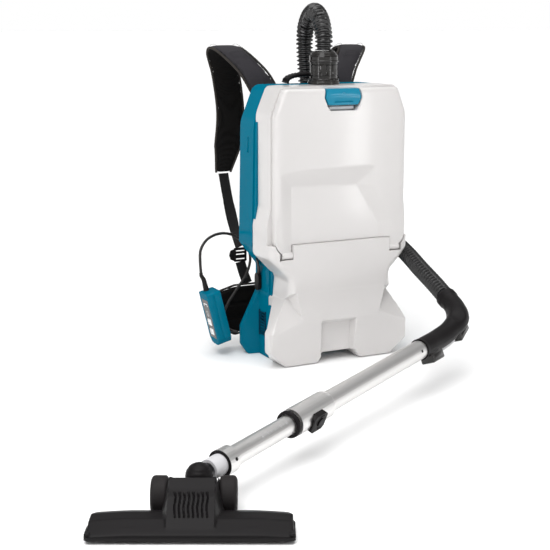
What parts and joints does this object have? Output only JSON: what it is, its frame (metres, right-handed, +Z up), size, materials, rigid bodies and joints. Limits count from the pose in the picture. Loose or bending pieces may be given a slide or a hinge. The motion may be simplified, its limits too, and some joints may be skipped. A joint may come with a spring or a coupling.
{
  "type": "backpack vacuum cleaner",
  "caption": "Backpack vacuum cleaner: two-tone hard pack with hinged lid, harness and wired remote, corrugated hose, telescopic wand and swivelling floor nozzle.",
  "frame": {"origin": "on the pack's flat base, under the rear housing, on the centre plane", "axes": "+Z up; +Y from the lid towards the wearer's back; +X across the pack"},
  "size_m": [0.9699, 1.0826, 0.7402],
  "materials": {
    "teal_plastic": "moulded, satin gloss",
    "white_plastic": "moulded, gloss",
    "black_plastic": "moulded, satin",
    "hose_plastic": "ribbed, satin",
    "grey_plastic": "moulded, satin",
    "tube_metal": "satin anodised",
    "steel": "machined",
    "webbing": "woven",
    "padding": "padded mesh fabric",
    "bag_fleece": "non-woven",
    "filter_media": "pleated",
    "rubber": "matt",
    "board": "laminate"
  },
  "bodies": {
    "pack": {"rear_housing": "teal_plastic", "side_vent_left": "teal_plastic", "side_vent_right": "teal_plastic", "remote_case": "teal_plastic", "front_shell": "white_plastic", "lid_seal": "rubber", "motor_mount": "rubber", "strain_relief": "rubber", "remote_cable": "rubber", "hinge_pin_left": "steel", "hinge_pin_right": "steel", "outer_tube": "tube_metal", "hose": "hose_plastic", "dust_bag": "bag_fleece", "filter": "filter_media", "circuit_board": "board", "back_pad": "padding", "shoulder_strap_left": "padding", "shoulder_strap_right": "padding", "waist_wing_left": "padding", "waist_wing_right": "padding", "webbing_left": "webbing", "webbing_right": "webbing", "lower_webbing_left": "webbing", "lower_webbing_right": "webbing", "bag_holder": "black_plastic", "motor": "black_plastic", "battery_terminal_left": "black_plastic", "battery_terminal_right": "black_plastic", "cuff_ring": "black_plastic", "hose_cuff": "black_plastic", "cuff_cap": "black_plastic", "carry_handle": "black_plastic", "buckle_left": "black_plastic", "buckle_right": "black_plastic", "remote_face": "black_plastic", "tube_collar": "tube_metal", "collar_ring": "black_plastic", "elbow": "black_plastic", "elbow_collar": "black_plastic"},
    "lid": {"lid": "white_plastic"},
    "latch": {"lid_latch": "teal_plastic"},
    "rotor": {"fan": "black_plastic", "motor_shaft": "steel"},
    "battery_l": {"battery_left": "black_plastic"},
    "battery_r": {"battery_right": "black_plastic"},
    "button_on": {"remote_button_on": "white_plastic"},
    "button_off": {"remote_button_off": "white_plastic"},
    "lock_button": {"tube_lock_button": "black_plastic"},
    "wand_inner": {"inner_tube": "tube_metal", "lower_collar": "tube_metal", "nozzle_neck": "grey_plastic"},
    "swivel": {"swivel_dome": "black_plastic"},
    "nozzle": {"nozzle_head": "black_plastic", "sole_plate": "black_plastic", "brush_front": "webbing", "brush_rear": "webbing", "nozzle_axle": "steel"},
    "wheel_l": {"wheel_left": "rubber"},
    "wheel_r": {"wheel_right": "rubber"}
  },
  "joints": [
    {"name": "lid_hinge", "type": "hinge", "parent": "pack", "child": "lid", "pos_m": [0, -0.0925, 0.2368], "axis": [1, 0, 0], "range_deg": [0, 90]},
    {"name": "latch_pivot", "type": "hinge", "parent": "pack", "child": "latch", "pos_m": [0, -0.084, 0.5655], "axis": [-1, 0, 0], "range_deg": [0, 35], "stiffness_Nm_per_rad": 0.15},
    {"name": "fan_spin", "type": "hinge", "parent": "pack", "child": "rotor", "pos_m": [0, -0.025, 0.1946], "axis": [0, 0, 1], "continuous": true},
    {"name": "battery_left_slide", "type": "slide", "parent": "pack", "child": "battery_l", "axis": [0, 0, -1], "range_m": [0, 0.12]},
    {"name": "battery_right_slide", "type": "slide", "parent": "pack", "child": "battery_r", "axis": [0, 0, -1], "range_m": [0, 0.12]},
    {"name": "button_on_press", "type": "slide", "parent": "pack", "child": "button_on", "axis": [0.9703, 0, 0.2419], "range_m": [0, 0.001], "stiffness_N_per_m": 400},
    {"name": "button_off_press", "type": "slide", "parent": "pack", "child": "button_off", "axis": [0.9703, 0, 0.2419], "range_m": [0, 0.001], "stiffness_N_per_m": 400},
    {"name": "tube_lock_press", "type": "slide", "parent": "pack", "child": "lock_button", "axis": [-0.4665, 0.8021, 0.3729], "range_m": [0, 0.003], "stiffness_N_per_m": 600},
    {"name": "wand_extend", "type": "slide", "parent": "pack", "child": "wand_inner", "axis": [-0.8732, -0.4848, -0.0497], "range_m": [0, 0.27]},
    {"name": "nozzle_swivel", "type": "hinge", "parent": "wand_inner", "child": "swivel", "pos_m": [-0.56976, -0.69434, 0.0575], "axis": [0, 0, 1], "range_deg": [-80, 0]},
    {"name": "nozzle_tilt", "type": "hinge", "parent": "swivel", "child": "nozzle", "pos_m": [-0.57648, -0.69215, 0.0285], "axis": [0.8976, -0.4407, 0], "range_deg": [-20, 60]},
    {"name": "wheel_left_spin", "type": "hinge", "parent": "nozzle", "child": "wheel_l", "pos_m": [-0.57648, -0.69215, 0.0285], "axis": [0.8976, -0.4407, 0], "continuous": true},
    {"name": "wheel_right_spin", "type": "hinge", "parent": "nozzle", "child": "wheel_r", "pos_m": [-0.57648, -0.69215, 0.0285], "axis": [0.8976, -0.4407, 0], "continuous": true}
  ]
}
